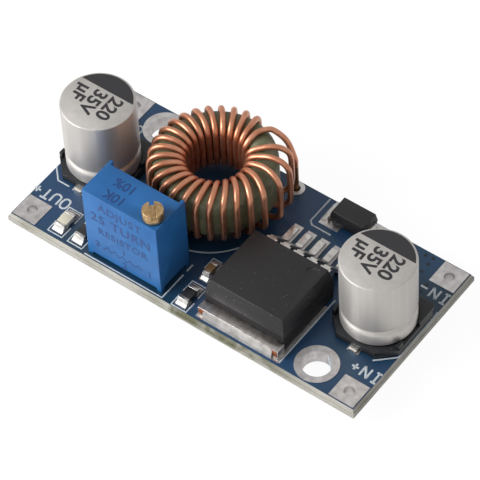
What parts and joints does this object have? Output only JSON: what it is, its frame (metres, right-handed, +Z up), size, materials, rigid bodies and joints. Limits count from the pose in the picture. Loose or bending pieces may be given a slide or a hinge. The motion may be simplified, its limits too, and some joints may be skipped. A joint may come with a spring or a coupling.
{
  "type": "step-down converter module",
  "caption": "Adjustable step-down power module: board with toroidal inductor, power regulator, two can capacitors, trimmer and small chips.",
  "frame": {"origin": "midway between the two fixing holes, on the underside of the board", "axes": "+X along the board towards the input end, +Y across the board to the inductor's edge, +Z up out of the component side"},
  "size_m": [0.0446, 0.0214, 0.0143],
  "materials": {
    "board_blue": "satin",
    "tinned_copper": "satin",
    "core_paint": "satin",
    "copper_wire": "polished",
    "solder": "polished",
    "can_aluminium": "satin",
    "black_plastic": "matte",
    "tinned_lead": "satin",
    "black_moulding": "matte",
    "trimmer_blue": "satin",
    "trimmer_resin": "satin",
    "white_ceramic": "matte",
    "screw_brass": "satin",
    "black_rubber": "matte",
    "lamp_white": "satin",
    "brown_ceramic": "satin"
  },
  "bodies": {
    "root": {"board": "board_blue", "fixing_hole_rings": "tinned_copper", "solder_lands": "tinned_copper", "terminal_in_plus": "tinned_copper", "terminal_in_minus": "tinned_copper", "terminal_out_plus": "tinned_copper", "terminal_out_minus": "tinned_copper", "inductor_core": "core_paint", "inductor_winding": "copper_wire", "inductor_solder": "solder", "input_capacitor_can": "can_aluminium", "input_capacitor_base": "black_plastic", "input_capacitor_leads": "tinned_lead", "output_capacitor_can": "can_aluminium", "output_capacitor_base": "black_plastic", "output_capacitor_leads": "tinned_lead", "regulator_body": "black_moulding", "regulator_tab": "tinned_lead", "regulator_leads": "tinned_lead", "regulator_solder": "solder", "diode_body": "black_moulding", "diode_leads": "tinned_lead", "diode_solder": "solder", "trimmer_housing": "trimmer_blue", "trimmer_potting": "trimmer_resin", "trimmer_element": "white_ceramic", "trimmer_pins": "tinned_lead", "trimmer_solder": "solder", "trimmer_seal": "black_rubber", "indicator_lamp": "lamp_white", "lamp_resistor": "black_moulding", "feedback_resistor": "black_moulding", "ceramic_capacitor": "brown_ceramic", "chip_ends": "tinned_lead", "chip_solder_fillets": "solder"},
    "adjusting_screw": {"trimmer_screw": "screw_brass"}
  },
  "joints": [
    {"name": "screw_turn", "type": "hinge", "parent": "root", "child": "adjusting_screw", "pos_m": [-0.00379, -0.00853, 0.012], "axis": [0, 0, 1], "continuous": true}
  ]
}
